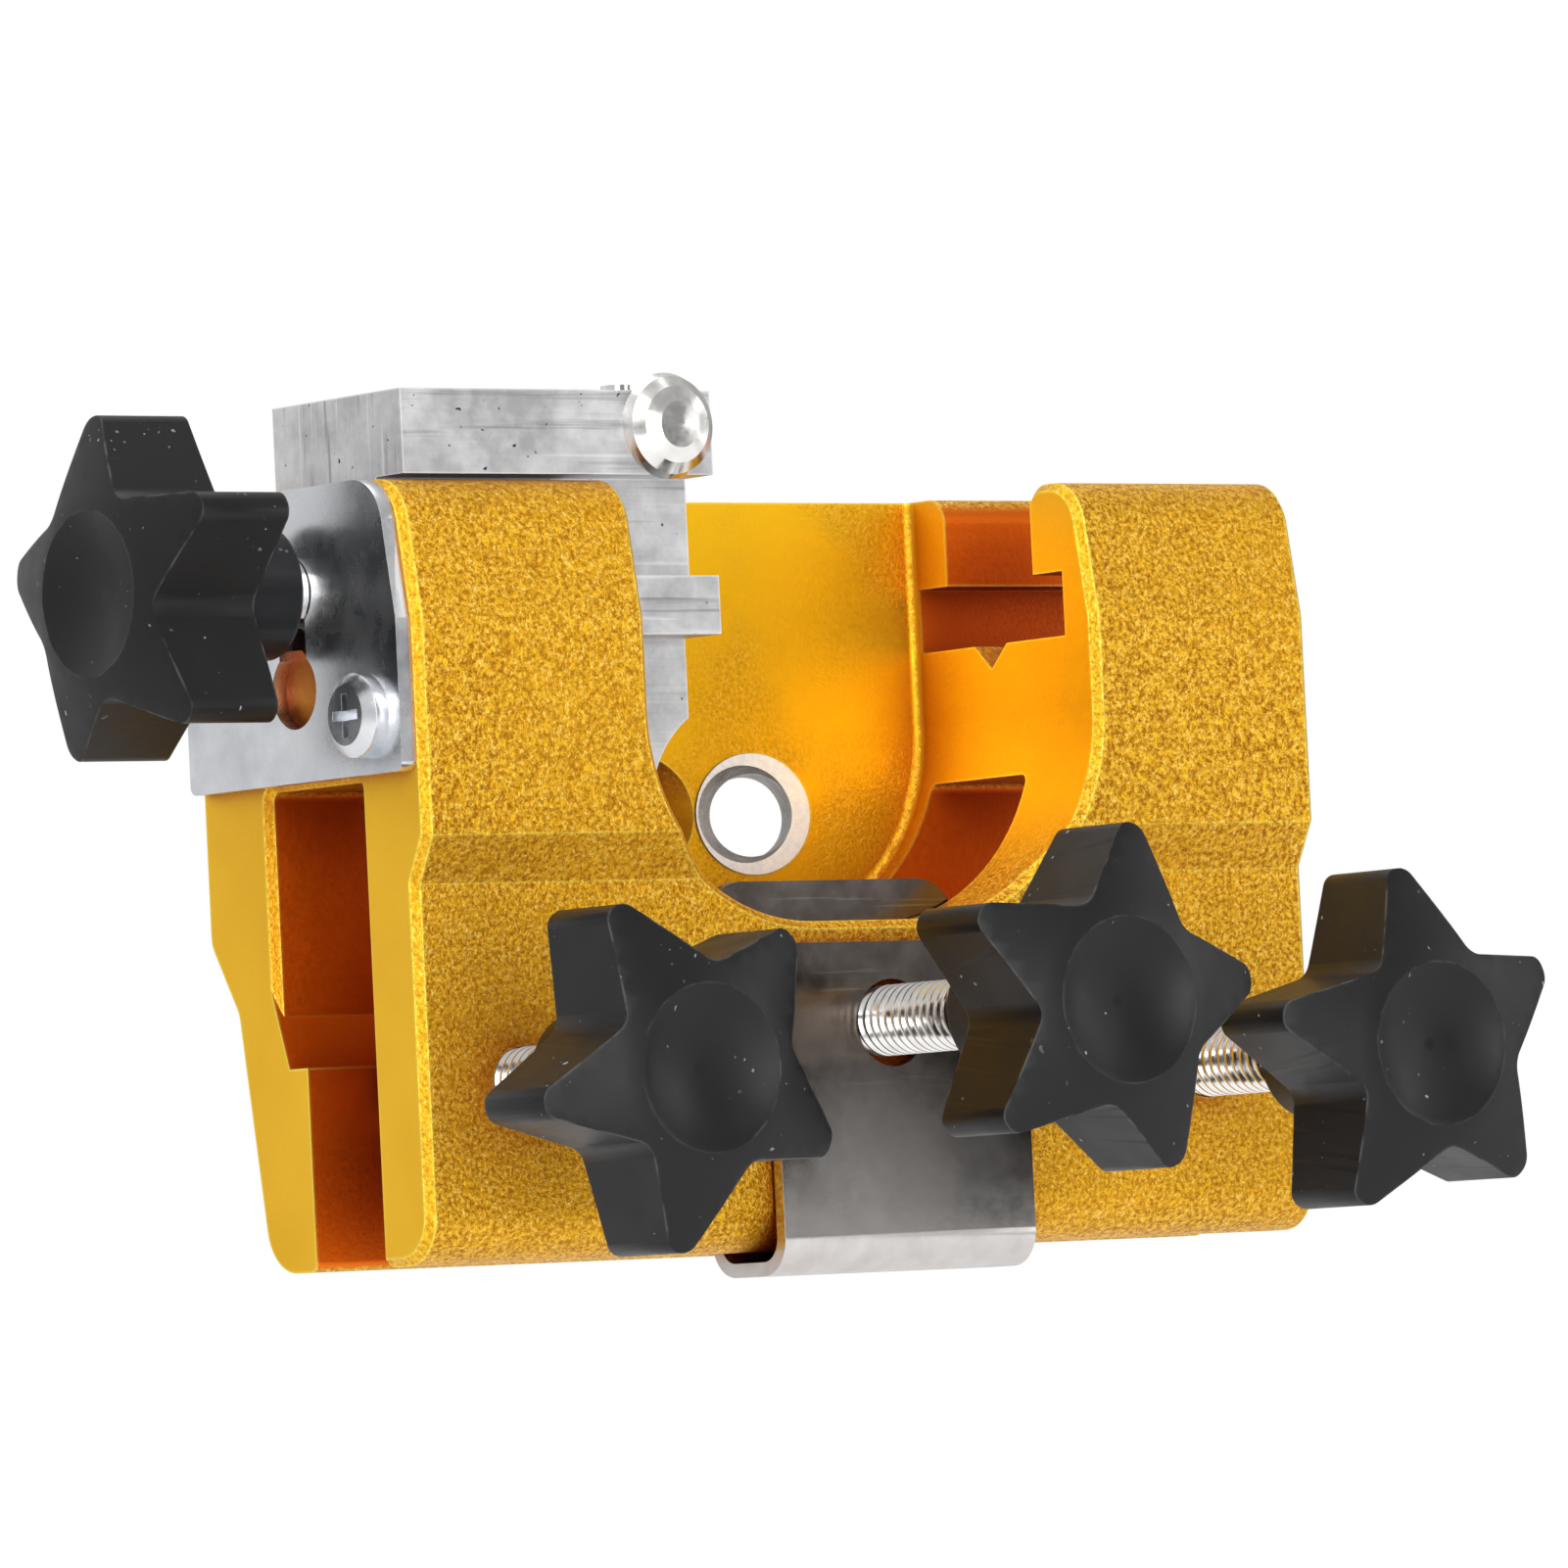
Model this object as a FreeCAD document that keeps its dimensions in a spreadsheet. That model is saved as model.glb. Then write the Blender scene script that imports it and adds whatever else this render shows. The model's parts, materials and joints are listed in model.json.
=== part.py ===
"""Hand-crank sharpening jig for chainsaw chain.

An extruded aluminium body straddles the guide bar. Two screws clamp it, a third one
presses a spring clip against the chain, and a feed screw moves the stop that a cutter
tooth leans on. The grinding shaft runs in a steel sleeve, slanted to the tooth's angle.

Frame: X runs along the extrusion to the right, Y to the rear, Z up, in millimetres. The
origin is the middle of the mouth of the guide bar's slot. Sizes and sketches measure
from the extrusion's left end, its upper front face and its feet, and each piece's
placement then carries it over to the origin.
"""
import FreeCAD, Part
import math
import os
import types

import Sketcher

SIZES = {
    # the extrusion
    "body_length": 93.7,
    "body_depth": 32.5,
    "body_height": 65.0,
    "front_step": 2.1,
    "front_step_top": 35.2,
    "front_step_foot": 31.3,
    "rear_step_depth": 28.8,
    "rear_step_top": 28.0,
    "rear_step_foot": 22.0,
    "rear_foot_depth": 25.5,
    "taper_start": 53.2,
    "taper_inset": 2.0,
    "corner_radius": 4.2,
    "step_radius": 2.5,
    "lip_radius": 2.2,
    "mouth_radius": 0.8,
    # the slot for the guide bar
    "bar_slot_front": 9.4,
    "bar_slot_rear": 23.1,
    "bar_slot_roof": 40.2,
    "bar_ledge_height": 17.0,
    "bar_ledge_front": 18.9,
    "bar_ledge_root": 21.6,
    "bar_ledge_slope": 4.5,
    # the T-slot for the stop slide
    "slide_axis": 14.6,
    "tee_width": 19.8,
    "tee_floor": 51.75,
    "tee_roof": 57.3,
    "tee_neck": 11.6,
    "vee_width": 4.6,
    "vee_depth": 2.1,
    # the grinding window
    "window_width": 46.9,
    "window_radius": 17.6,
    "window_foot": 27.6,
    "window_floor": 25.4,
    "window_floor_radius": 0.8,
    "edge_break": 0.7,
    # slanted bores and the guide sleeve
    "guide_angle": 30.0,
    "guide_height": 38.0,
    "guide_spacing": 12.4,
    "guide_offset": 1.2,
    "sleeve_diameter": 10.5,
    "sleeve_bore": 7.2,
    "sleeve_mouth": 8.2,
    "sleeve_proud": 0.15,
    "sleeve_sink": 1.6,
    # clamp screws and knobs
    "screw_diameter": 6.0,
    "thread_pitch": 1.0,
    "thread_depth": 0.58,
    "running_gap": 0.04,
    "left_screw_place": 10.1,
    "middle_screw_place": 47.1,
    "right_screw_place": 81.9,
    "outer_screw_height": 14.7,
    "middle_screw_height": 19.0,
    "left_knob_reach": 24.5,
    "middle_knob_reach": 32.3,
    "right_knob_reach": 29.9,
    "screw_reach": 22.0,
    "screw_head_diameter": 9.2,
    "screw_head_height": 4.0,
    "knob_radius": 15.0,
    "knob_length": 17.6,
    "knob_cone": 2.7,
    "knob_head_rear": 11.1,
    "knob_waist": 10.3,
    "knob_hub_radius": 5.6,
    "knob_dimple_radius": 6.9,
    "knob_dimple_depth": 1.7,
    "knob_valley_radius": 8.8,
    "knob_point_radius": 17.0,
    "knob_tip_rounding": 1.4,
    "knob_valley_rounding": 2.0,
    # spring clip
    "clip_start": 34.9,
    "clip_width": 26.4,
    "clip_thickness": 1.2,
    "clip_gap": 0.4,
    "clip_foot_gap": 0.9,
    "clip_outer_top": 25.7,
    "clip_inner_top": 31.4,
    "clip_hole_diameter": 7.4,
    "clip_hole_place": 47.2,
    "clip_hole_height": 18.8,
    "clip_bend_inside": 2.0,
    "clip_bend_outside": 3.2,
    "clip_outer_corner": 1.8,
    "clip_inner_corner": 4.0,
    # end plate, feed screw and feed knob
    "plate_thickness": 1.4,
    "plate_foot": 40.6,
    "plate_inset": 0.9,
    "keyhole_foot": 48.3,
    "keyhole_radius": 3.25,
    "feed_height": 56.4,
    "feed_offset": 1.6,
    "feed_neck": 3.9,
    "feed_reach": 33.0,
    "feed_knob_reach": 21.4,
    "plate_screw_diameter": 4.0,
    "plate_screw_length": 8.0,
    "plate_screw_head": 7.0,
    "plate_screw_head_height": 2.0,
    "plate_screw_crown": 5.0,
    "plate_screw_shoulder": 0.8,
    "plate_screw_tip": 0.5,
    "plate_hole_gap": 0.2,
    "plate_tip_gap": 1.0,
    "recess_length": 3.6,
    "recess_width": 0.8,
    "recess_depth": 1.3,
    "front_screw_depth": 6.0,
    "front_screw_height": 45.5,
    "rear_screw_depth": 28.2,
    "rear_screw_height": 58.0,
    # stop slide
    "slide_start": 3.0,
    "slide_length": 31.6,
    "slide_gap": 0.3,
    "block_lift": 0.5,
    "block_width": 19.0,
    "block_height": 7.1,
    "slide_neck": 10.8,
    "blade_front": 10.3,
    "blade_rear": 14.3,
    "blade_foot": 39.7,
    "blade_start": 26.0,
    "blade_notch_radius": 9.5,
    "blade_notch_place": 39.8,
    "blade_notch_height": 37.4,
    "stop_pin_place": 30.0,
    "stop_pin_height": 69.6,
    "stop_pin_shank": 4.0,
    "stop_pin_length": 7.0,
    "stop_pin_head": 9.0,
    "stop_pin_dome": 2.2,
    "latch_pin_place": 31.7,
    "latch_pin_diameter": 2.5,
    "latch_pin_length": 5.0,
    "latch_pin_proud": 1.3,
}

POINTS_OF_STAR = 5
STAR_HALF_ANGLE = math.radians(180 / POINTS_OF_STAR)
QUARTER_TURN = math.pi / 2
UPWARD = FreeCAD.Vector(0, 0, 1)
ORIGIN_POINT = (-1, 1)


class Size:
    """A length with its present value and the expression that ties it to the sheet."""

    def __init__(self, value, text):
        self.value = float(value)
        self.text = text

    def __add__(self, other):
        other = as_size(other)
        return Size(self.value + other.value, f"({self.text} + {other.text})")

    def __sub__(self, other):
        other = as_size(other)
        return Size(self.value - other.value, f"({self.text} - {other.text})")

    def __mul__(self, other):
        other = as_size(other)
        return Size(self.value * other.value, f"({self.text} * {other.text})")

    def __truediv__(self, other):
        other = as_size(other)
        return Size(self.value / other.value, f"({self.text} / {other.text})")

    def __neg__(self):
        return self * -1

    def __radd__(self, other):
        return as_size(other) + self

    def __rsub__(self, other):
        return as_size(other) - self

    def __rmul__(self, other):
        return as_size(other) * self


def as_size(number):
    return number if isinstance(number, Size) else Size(number, f"({number})")


def measure(length):
    """The present value of a size in millimetres."""
    return as_size(length).value


def point(x, y, z):
    return FreeCAD.Vector(measure(x), measure(y), measure(z))


document = FreeCAD.newDocument("chain_sharpening_jig")
sheet = document.addObject("Spreadsheet::Sheet", "sizes")
for row, (alias, value) in enumerate(SIZES.items(), start=1):
    sheet.set(f"A{row}", alias.replace("_", " "))
    sheet.set(f"B{row}", str(value))
    sheet.setAlias(f"B{row}", alias)
document.recompute()
size = types.SimpleNamespace(
    **{alias: Size(value, f"sizes.{alias}") for alias, value in SIZES.items()})


def bind(item, prop, length):
    item.setExpression(prop, as_size(length).text)


HOME = point(-size.body_length / 2, -(size.bar_slot_front + size.bar_ledge_front) / 2, 0)


def new_body(name, base=FreeCAD.Vector(), turn=FreeCAD.Rotation()):
    """An empty PartDesign body at a base measured like the sizes, turned in place."""
    body = document.addObject("PartDesign::Body", name)
    body.Label = name
    body.Placement = FreeCAD.Placement(HOME + base, turn)
    return body


def new_sketch(body, name, plane, lift=0):
    """A sketch on one of the body's own planes, lifted along the plane's normal."""
    sketch = body.newObject("Sketcher::SketchObject", f"{body.Name}_{name}")
    support = next(item for item in body.Origin.OriginFeatures if item.Role == plane)
    sketch.AttachmentSupport = [(support, "")]
    sketch.MapMode = "FlatFace"
    if lift != 0:
        bind(sketch, "AttachmentOffset.Base.z", lift)
    return sketch


def hold(sketch, kind, geometry, end, length):
    """Dimension one point from the sketch's origin, bound to the sheet."""
    value = measure(length)
    if abs(value) < 1e-9:
        axis = -2 if kind == "DistanceX" else -1
        sketch.addConstraint(Sketcher.Constraint("PointOnObject", geometry, end, axis))
        return
    ends = (*ORIGIN_POINT, geometry, end) if value > 0 else (geometry, end, *ORIGIN_POINT)
    index = sketch.addConstraint(Sketcher.Constraint(kind, *ends, abs(value)))
    bind(sketch, f"Constraints[{index}]", length if value > 0 else -as_size(length))


def draw_outline(sketch, corners):
    """A closed outline of straight lines through corners given as expressions."""
    places = [FreeCAD.Vector(measure(across), measure(up), 0) for across, up in corners]
    first = sketch.GeometryCount
    count = len(corners)
    for index in range(count):
        sketch.addGeometry(Part.LineSegment(places[index], places[(index + 1) % count]))
    for index in range(count):
        following = first + (index + 1) % count
        sketch.addConstraint(Sketcher.Constraint("Coincident", first + index, 2, following, 1))
    for index, (across, up) in enumerate(corners):
        hold(sketch, "DistanceX", first + index, 1, across)
        hold(sketch, "DistanceY", first + index, 1, up)


def draw_circle(sketch, across, up, radius):
    centre = FreeCAD.Vector(measure(across), measure(up), 0)
    circle = sketch.addGeometry(Part.Circle(centre, UPWARD, measure(radius)))
    hold(sketch, "DistanceX", circle, 3, across)
    hold(sketch, "DistanceY", circle, 3, up)
    index = sketch.addConstraint(Sketcher.Constraint("Radius", circle, measure(radius)))
    bind(sketch, f"Constraints[{index}]", radius)


def pad(body, sketch, length):
    feature = body.newObject("PartDesign::Pad", f"{sketch.Name}_pad")
    feature.Profile = sketch
    bind(feature, "Length", length)
    document.recompute()
    return feature


def pocket(body, sketch, length, backward=False):
    """Cut along the sketch's reverse normal, or along the normal when backward."""
    before = body.Shape.Volume
    feature = body.newObject("PartDesign::Pocket", f"{sketch.Name}_pocket")
    feature.Profile = sketch
    feature.Reversed = backward
    bind(feature, "Length", length)
    document.recompute()
    if feature.Shape.Volume >= before:
        raise RuntimeError(f"{feature.Name} removes nothing")
    return feature


def turned(body, sketch, kind):
    """A Revolution or a Groove of the sketch about its own vertical axis."""
    feature = body.newObject(f"PartDesign::{kind}", f"{sketch.Name}_{kind.lower()}")
    feature.Profile = sketch
    feature.ReferenceAxis = (sketch, ["V_Axis"])
    feature.Angle = 360
    document.recompute()
    return feature


def edges_where(shape, test):
    return [f"Edge{index}" for index, edge in enumerate(shape.Edges, start=1) if test(edge)]


def dress(body, kind, test, reach):
    """Fillet or chamfer the tip's edges that pass the test."""
    base = body.Tip
    feature = body.newObject(f"PartDesign::{kind}", f"{body.Name}_{kind.lower()}")
    edges = edges_where(base.Shape, test)
    if not edges:
        raise RuntimeError(f"{feature.Name} finds no edges")
    feature.Base = (base, edges)
    bind(feature, "Radius" if kind == "Fillet" else "Size", reach)
    document.recompute()
    if feature.Shape.isNull() or not feature.Shape.isValid():
        raise RuntimeError(f"{feature.Name} fails on {edges}")
    return feature


def near(value, target, slack=0.02):
    return abs(value - target) < slack


def along_x_at(places):
    """A test for straight edges that run along X through any of the (y, z) places."""
    spots = [(measure(y), measure(z)) for y, z in places]

    def test(edge):
        box = edge.BoundBox
        if box.XLength < 1 or box.YLength > 0.01 or box.ZLength > 0.01:
            return False
        return any(near(box.YMin, y) and near(box.ZMin, z) for y, z in spots)

    return test


# ---------------------------------------------------------------- jig body

TEE_FRONT = size.slide_axis - size.tee_width / 2
TEE_REAR = size.slide_axis + size.tee_width / 2
NECK_FRONT = size.slide_axis - size.tee_neck / 2
NECK_REAR = size.slide_axis + size.tee_neck / 2
WINDOW_LEFT = size.body_length / 2 - size.window_width / 2
WINDOW_RIGHT = size.body_length / 2 + size.window_width / 2
BODY_OUTLINE = [
    (0, size.front_step_top),
    (size.front_step, size.front_step_foot),
    (size.front_step, 0),
    (size.bar_slot_front, 0),
    (size.bar_slot_front, size.bar_slot_roof),
    (size.bar_slot_rear, size.bar_slot_roof),
    (size.bar_slot_rear, size.bar_ledge_height + size.bar_ledge_slope),
    (size.bar_ledge_root, size.bar_ledge_height),
    (size.bar_ledge_front, size.bar_ledge_height),
    (size.bar_ledge_front, 0),
    (size.rear_foot_depth, 0),
    (size.rear_step_depth, size.rear_step_foot),
    (size.body_depth, size.rear_step_top),
    (size.body_depth, size.taper_start),
    (size.body_depth - size.taper_inset, size.body_height),
    (NECK_REAR, size.body_height),
    (NECK_REAR, size.tee_roof),
    (TEE_REAR, size.tee_roof),
    (TEE_REAR, size.tee_floor),
    (size.slide_axis + size.vee_width / 2, size.tee_floor),
    (size.slide_axis, size.tee_floor - size.vee_depth),
    (size.slide_axis - size.vee_width / 2, size.tee_floor),
    (TEE_FRONT, size.tee_floor),
    (TEE_FRONT, size.tee_roof),
    (NECK_FRONT, size.tee_roof),
    (NECK_FRONT, size.body_height),
    (size.taper_inset, size.body_height),
    (0, size.taper_start),
]


def draw_window(sketch):
    """The window's outline: open above, its two lower corners quarter circles."""
    left = measure(WINDOW_LEFT)
    right = measure(WINDOW_RIGHT)
    foot = measure(size.window_foot)
    radius = measure(size.window_radius)
    top = measure(size.body_height + size.corner_radius)
    spring = foot + radius
    left_circle = Part.Circle(FreeCAD.Vector(left + radius, spring, 0), UPWARD, radius)
    right_circle = Part.Circle(FreeCAD.Vector(right - radius, spring, 0), UPWARD, radius)
    corners = [
        FreeCAD.Vector(left, top, 0), FreeCAD.Vector(left, spring, 0),
        FreeCAD.Vector(left + radius, foot, 0), FreeCAD.Vector(right - radius, foot, 0),
        FreeCAD.Vector(right, spring, 0), FreeCAD.Vector(right, top, 0),
    ]
    sketch.addGeometry(Part.LineSegment(corners[0], corners[1]))
    sketch.addGeometry(Part.ArcOfCircle(left_circle, 2 * QUARTER_TURN, 3 * QUARTER_TURN))
    sketch.addGeometry(Part.LineSegment(corners[2], corners[3]))
    sketch.addGeometry(Part.ArcOfCircle(right_circle, 3 * QUARTER_TURN, 4 * QUARTER_TURN))
    sketch.addGeometry(Part.LineSegment(corners[4], corners[5]))
    sketch.addGeometry(Part.LineSegment(corners[5], corners[0]))
    for index in range(4):
        sketch.addConstraint(Sketcher.Constraint("Tangent", index, 2, index + 1, 1))
    for index in (4, 5):
        following = (index + 1) % 6
        sketch.addConstraint(Sketcher.Constraint("Coincident", index, 2, following, 1))
    sketch.addConstraint(Sketcher.Constraint("Vertical", 0))
    sketch.addConstraint(Sketcher.Constraint("Horizontal", 2))
    sketch.addConstraint(Sketcher.Constraint("Horizontal", 5))
    sketch.addConstraint(Sketcher.Constraint("Equal", 1, 3))
    index = sketch.addConstraint(Sketcher.Constraint("Radius", 1, radius))
    bind(sketch, f"Constraints[{index}]", size.window_radius)
    hold(sketch, "DistanceX", 0, 1, WINDOW_LEFT)
    hold(sketch, "DistanceX", 4, 2, WINDOW_RIGHT)
    hold(sketch, "DistanceY", 2, 1, size.window_foot)
    hold(sketch, "DistanceY", 5, 1, size.body_height + size.corner_radius)


def make_jig_body():
    body = new_body("jig_body")
    profile = new_sketch(body, "profile", "YZ_Plane")
    draw_outline(profile, BODY_OUTLINE)
    pad(body, profile, size.body_length)
    dress(body, "Fillet", along_x_at([
        (size.front_step, 0), (size.rear_foot_depth, 0),
        (size.taper_inset, size.body_height),
        (size.body_depth - size.taper_inset, size.body_height),
    ]), size.corner_radius)
    dress(body, "Fillet", along_x_at([
        (size.rear_step_depth, size.rear_step_foot), (size.body_depth, size.rear_step_top),
    ]), size.step_radius)
    dress(body, "Fillet", along_x_at([
        (NECK_FRONT, size.body_height), (NECK_REAR, size.body_height),
    ]), size.lip_radius)
    dress(body, "Fillet", along_x_at([
        (size.bar_slot_front, 0), (size.bar_ledge_front, 0),
        (size.bar_slot_front, size.bar_slot_roof), (size.bar_slot_rear, size.bar_slot_roof),
    ]), size.mouth_radius)

    window = new_sketch(body, "window", "XZ_Plane")
    draw_window(window)
    pocket(body, window, size.window_floor)

    def on_floor(edge):
        box = edge.BoundBox
        floor = measure(size.window_floor)
        left = measure(WINDOW_LEFT)
        inside = box.XMin > left - 0.1 and box.XMax < measure(WINDOW_RIGHT) + 0.1
        below_top = box.ZMin < measure(size.body_height) - 0.1
        return near(box.YMin, floor) and near(box.YMax, floor) and inside and below_top

    dress(body, "Fillet", on_floor, size.window_floor_radius)

    holes = new_sketch(body, "screw_holes", "XZ_Plane")
    hole_radius = size.screw_diameter / 2 + size.running_gap
    draw_circle(holes, size.left_screw_place, size.outer_screw_height, hole_radius)
    draw_circle(holes, size.middle_screw_place, size.middle_screw_height, hole_radius)
    draw_circle(holes, size.right_screw_place, size.outer_screw_height, hole_radius)
    pocket(body, holes, size.bar_slot_front + 1)

    plate_holes = new_sketch(body, "plate_holes", "YZ_Plane")
    for _, depth, height in PLATE_SCREW_PLACES:
        draw_circle(plate_holes, depth, height, size.plate_screw_diameter / 2)
    pocket(body, plate_holes, size.plate_screw_length, backward=True)

    for side, sign in (("left", -1), ("right", 1)):
        before = body.Shape.Volume
        bore = body.newObject("PartDesign::SubtractiveCylinder", f"{side}_guide_bore")
        bind(bore, "Radius", size.sleeve_diameter / 2)
        bore.Height = GUIDE_DRILL_LENGTH
        place_on_guide_axis(bore, sign)
        document.recompute()
        if bore.Shape.Volume >= before:
            raise RuntimeError("a guide bore removes nothing")

    dress(body, "Chamfer", is_show_edge, size.edge_break)
    return body


PLATE_SCREW_PLACES = [
    ("front", size.front_screw_depth, size.front_screw_height),
    ("rear", size.rear_screw_depth, size.rear_screw_height),
]
GUIDE_DRILL_LENGTH = 24.0
GUIDE_DRILL_LEAD = 8.0


def place_on_guide_axis(item, sign, start=-GUIDE_DRILL_LEAD):
    """Lay an item's Z axis along a guide bore, start mm past the window's floor.

    The right bore (sign 1) slants to the rear right and the left one mirrors it, so
    their axes meet where the tooth is ground.
    """
    angle = measure(size.guide_angle)
    turn = FreeCAD.Rotation(FreeCAD.Vector(0, 0, 1), -sign * angle)
    turn = turn.multiply(FreeCAD.Rotation(FreeCAD.Vector(1, 0, 0), -90))
    along = turn.multVec(FreeCAD.Vector(0, 0, 1))
    middle = measure(size.body_length / 2 - size.guide_offset)
    floor_point = FreeCAD.Vector(
        middle + sign * measure(size.guide_spacing / 2),
        measure(size.window_floor),
        measure(size.guide_height),
    )
    item.Placement = FreeCAD.Placement(floor_point + along * start, turn)


def is_show_edge(edge):
    """The sharp outer edges of both ends and of the window's mouth in the front."""
    box = edge.BoundBox
    length = measure(size.body_length)
    height = measure(size.body_height)
    at_end = box.XLength < 0.01 and (near(box.XMin, 0) or near(box.XMin, length))
    front_reach = measure(size.corner_radius + size.taper_inset + 0.2)
    outer_front = box.YMax < front_reach and box.ZMin < height - 0.1
    if at_end:
        return outer_front
    at_wall = box.XMin > measure(WINDOW_LEFT) - 0.1 and box.XMax < measure(WINDOW_RIGHT) + 0.1
    on_front = box.YMax < front_reach and box.ZMin > measure(size.window_foot) - 0.1
    if not (at_wall and on_front):
        return False
    upright = near(box.XMin, measure(WINDOW_LEFT)) or near(box.XMax, measure(WINDOW_RIGHT))
    return upright or box.YMax < measure(size.front_step) + 0.1


# ---------------------------------------------------------------- guide sleeve

def make_guide_sleeve():
    """A steel tube pressed in the right bore, cut flush with the wall it passes."""
    tube = document.addObject("Part::Cylinder", "sleeve_tube")
    bind(tube, "Radius", size.sleeve_diameter / 2)
    bore = document.addObject("Part::Cylinder", "sleeve_bore_cut")
    bind(bore, "Radius", size.sleeve_bore / 2)
    for item in (tube, bore):
        item.Height = GUIDE_DRILL_LENGTH
        place_on_guide_axis(item, 1)
    mouth = document.addObject("Part::Cone", "sleeve_mouth_cut")
    flare = (size.sleeve_mouth - size.sleeve_bore) / 2 / size.sleeve_sink
    bind(mouth, "Radius1", size.sleeve_mouth / 2 + flare * GUIDE_DRILL_LEAD)
    bind(mouth, "Radius2", size.sleeve_bore / 2)
    bind(mouth, "Height", size.sleeve_sink + GUIDE_DRILL_LEAD)
    place_on_guide_axis(mouth, 1)
    bored = document.addObject("Part::Cut", "sleeve_bored")
    bored.Base = tube
    bored.Tool = bore
    wall = document.addObject("Part::Box", "sleeve_wall_slab")
    bind(wall, "Length", size.body_length)
    bind(wall, "Width", size.body_depth - size.window_floor + size.sleeve_proud)
    bind(wall, "Height", size.body_height)
    wall.Placement.Base.y = measure(size.window_floor - size.sleeve_proud)
    trimmed = document.addObject("Part::Common", "sleeve_trimmed")
    trimmed.Base = bored
    trimmed.Tool = wall
    sleeve = document.addObject("Part::Cut", "guide_sleeve")
    sleeve.Base = trimmed
    sleeve.Tool = mouth
    sleeve.Label = "guide_sleeve"
    sleeve.Placement.Base = HOME
    return sleeve


# ---------------------------------------------------------------- screws and knobs

def cut_thread(body, radius, start, length):
    """A right-hand vee thread on the body's Z axis from start over length."""
    groove = new_sketch(body, "thread_groove", "XZ_Plane")
    half_mouth = size.thread_pitch * 0.42
    half_root = size.thread_pitch * 0.06
    outside = radius + 0.05
    root = radius - size.thread_depth
    draw_outline(groove, [
        (outside, start - half_mouth),
        (outside, start + half_mouth),
        (root, start + half_root),
        (root, start - half_root),
    ])
    before = body.Shape.Volume
    thread = body.newObject("PartDesign::SubtractiveHelix", f"{body.Name}_thread")
    thread.Profile = groove
    thread.ReferenceAxis = (groove, ["V_Axis"])
    thread.Mode = "pitch-height-angle"
    bind(thread, "Pitch", size.thread_pitch)
    bind(thread, "Height", length)
    document.recompute()
    if thread.Shape.Volume >= before:
        raise RuntimeError(f"{body.Name} has no thread")


FACING_FRONT = FreeCAD.Rotation(FreeCAD.Vector(1, 0, 0), -90)
FACING_LEFT = FreeCAD.Rotation(FreeCAD.Vector(0, 1, 0), 90)


def make_clamp_screw(name, place, height, reach):
    """A threaded stud, its round head moulded in the knob; Z runs from head to tip."""
    base = point(place, -reach, height)
    screw = new_body(name, base, FACING_FRONT)
    half = new_sketch(screw, "half", "XZ_Plane")
    head_seat = size.knob_head_rear - size.screw_head_height
    tip = size.knob_length + size.screw_reach
    draw_outline(half, [
        (0, head_seat),
        (size.screw_head_diameter / 2, head_seat),
        (size.screw_head_diameter / 2, head_seat + size.screw_head_height),
        (size.screw_diameter / 2, head_seat + size.screw_head_height),
        (size.screw_diameter / 2, tip - size.thread_depth),
        (size.screw_diameter / 2 - size.thread_depth, tip),
        (0, tip),
    ])
    turned(screw, half, "Revolution")
    cut_thread(screw, size.screw_diameter / 2, size.knob_length - 1, size.screw_reach + 2)
    return screw


def draw_knob_half(sketch):
    """Half the turned blank: coned head, waist and hub, with Z from the face back."""
    draw_outline(sketch, [
        (0, 0),
        (size.knob_dimple_radius, 0),
        (size.knob_radius, size.knob_cone),
        (size.knob_radius, size.knob_head_rear),
        (size.knob_hub_radius, size.knob_waist),
        (size.knob_hub_radius, size.knob_length),
        (0, size.knob_length),
    ])


def draw_star_notch(sketch):
    """The notch between two points of the star: straight sides into a round valley."""
    outside = size.knob_point_radius
    side = outside * math.sin(STAR_HALF_ANGLE)
    corner = outside * math.cos(STAR_HALF_ANGLE)
    centre = size.knob_valley_radius + size.knob_valley_rounding
    middle = point(centre, 0, 0)
    radius = measure(size.knob_valley_rounding)
    reach = point(corner, side, 0) - middle
    touch = math.atan2(reach.y, reach.x) + math.acos(radius / reach.Length)
    upper_touch = middle + FreeCAD.Vector(radius * math.cos(touch), radius * math.sin(touch), 0)
    lower_touch = FreeCAD.Vector(upper_touch.x, -upper_touch.y, 0)
    circle = Part.Circle(middle, UPWARD, radius)
    corners = [
        upper_touch, point(corner, side, 0), point(2 * outside, side, 0),
        point(2 * outside, -side, 0), point(corner, -side, 0), lower_touch,
    ]
    for index in range(5):
        sketch.addGeometry(Part.LineSegment(corners[index], corners[index + 1]))
    sketch.addGeometry(Part.ArcOfCircle(circle, touch, 2 * math.pi - touch))
    for index in range(4):
        sketch.addConstraint(Sketcher.Constraint("Coincident", index, 2, index + 1, 1))
    sketch.addConstraint(Sketcher.Constraint("Tangent", 5, 1, 0, 1))
    sketch.addConstraint(Sketcher.Constraint("Tangent", 4, 2, 5, 2))
    index = sketch.addConstraint(Sketcher.Constraint("Radius", 5, radius))
    bind(sketch, f"Constraints[{index}]", size.knob_valley_rounding)
    hold(sketch, "DistanceX", 5, 3, centre)
    hold(sketch, "DistanceY", 5, 3, 0)
    places = [(corner, side), (2 * outside, side), (2 * outside, -side), (corner, -side)]
    for index, (across, up) in enumerate(places, start=1):
        hold(sketch, "DistanceX", index, 1, across)
        hold(sketch, "DistanceY", index, 1, up)


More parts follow.
